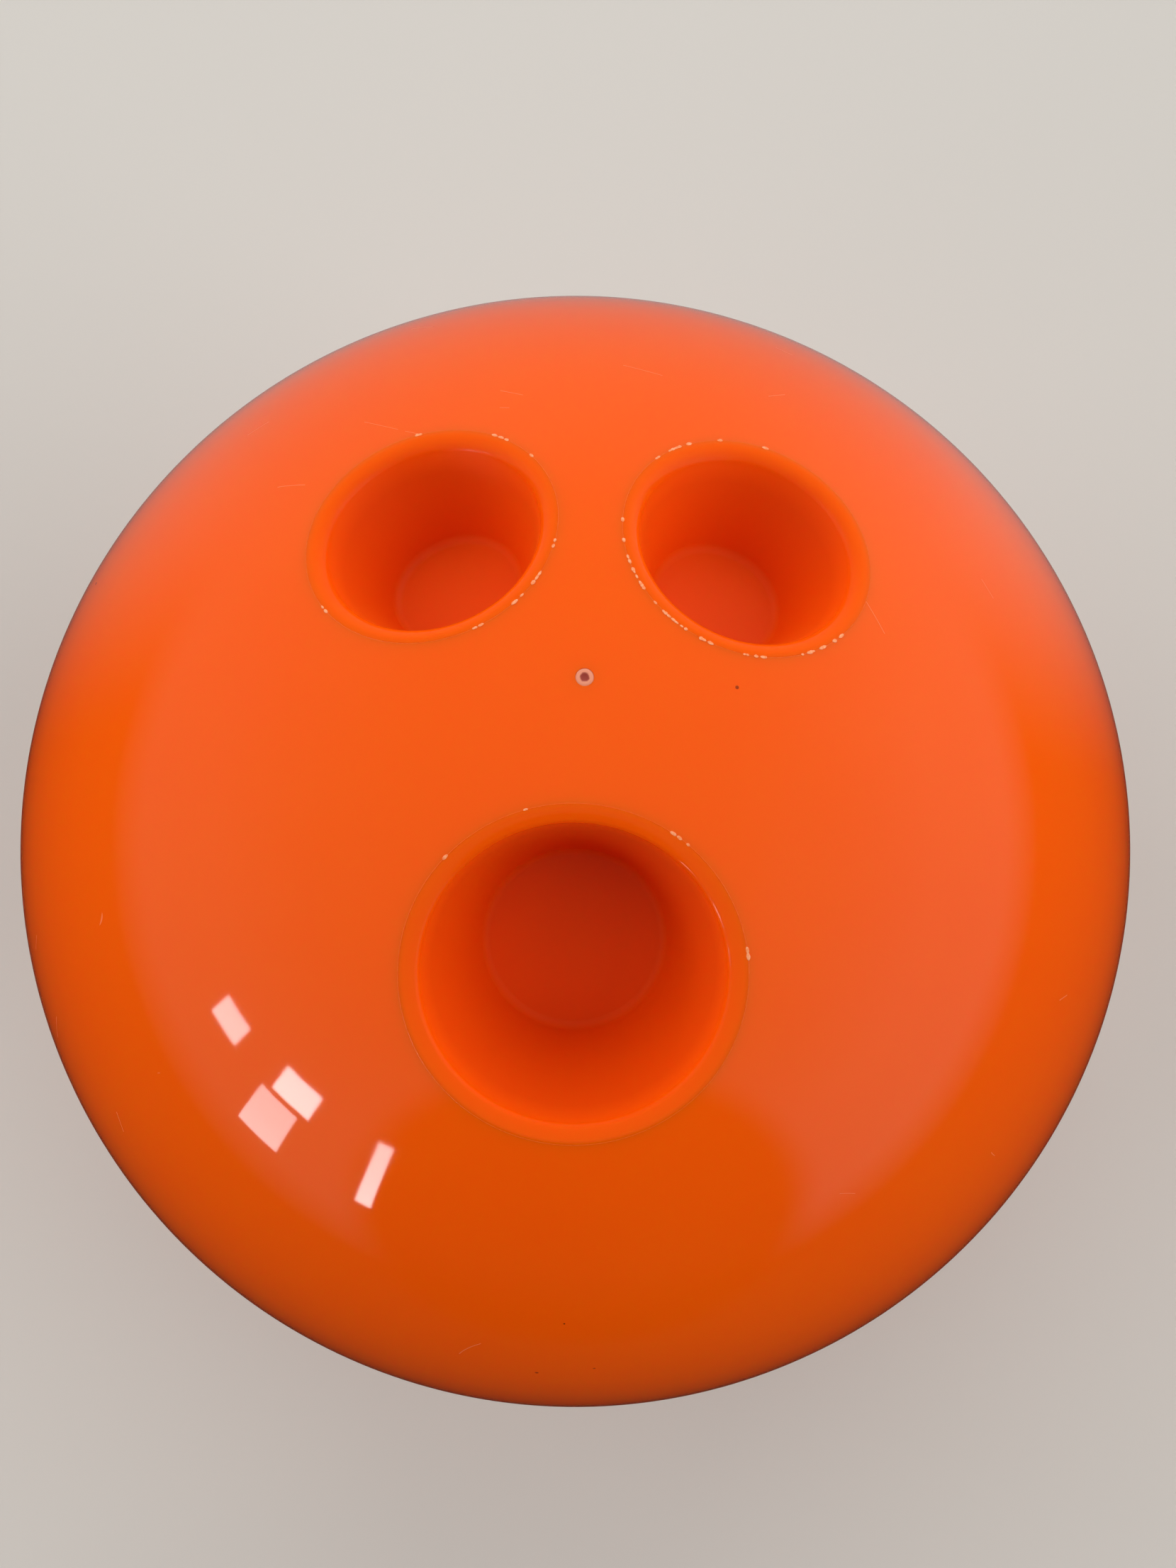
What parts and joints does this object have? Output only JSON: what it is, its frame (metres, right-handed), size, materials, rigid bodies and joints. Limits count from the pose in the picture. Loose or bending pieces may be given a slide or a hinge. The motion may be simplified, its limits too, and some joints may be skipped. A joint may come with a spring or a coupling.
{
  "type": "bowling ball",
  "caption": "Glossy plastic ball with two finger cups, a thumb cup and a small centre pin, over a core and a weight block.",
  "frame": {"origin": "centre of the ball", "axes": "+Z out through the pin at the middle of the grip, +Y towards the two finger cups, -Y towards the thumb cup, X = 0 is the mirror plane"},
  "size_m": [0.218, 0.218, 0.218],
  "materials": {
    "cover": "polished orange polyester",
    "core": "cast filler, never seen",
    "block": "cast dense filler, never seen",
    "pin": "cut flush, dark red with a pale edge",
    "finger_slug": "moulded orange plastic, satin inside the cup",
    "thumb_slug": "moulded orange plastic, satin inside the cup"
  },
  "bodies": {
    "root": {"coverstock": "cover", "filler_core": "core", "weight_block": "block", "locating_pin": "pin", "left_finger_slug": "finger_slug", "right_finger_slug": "finger_slug", "thumb_slug": "thumb_slug"}
  },
  "joints": []
}
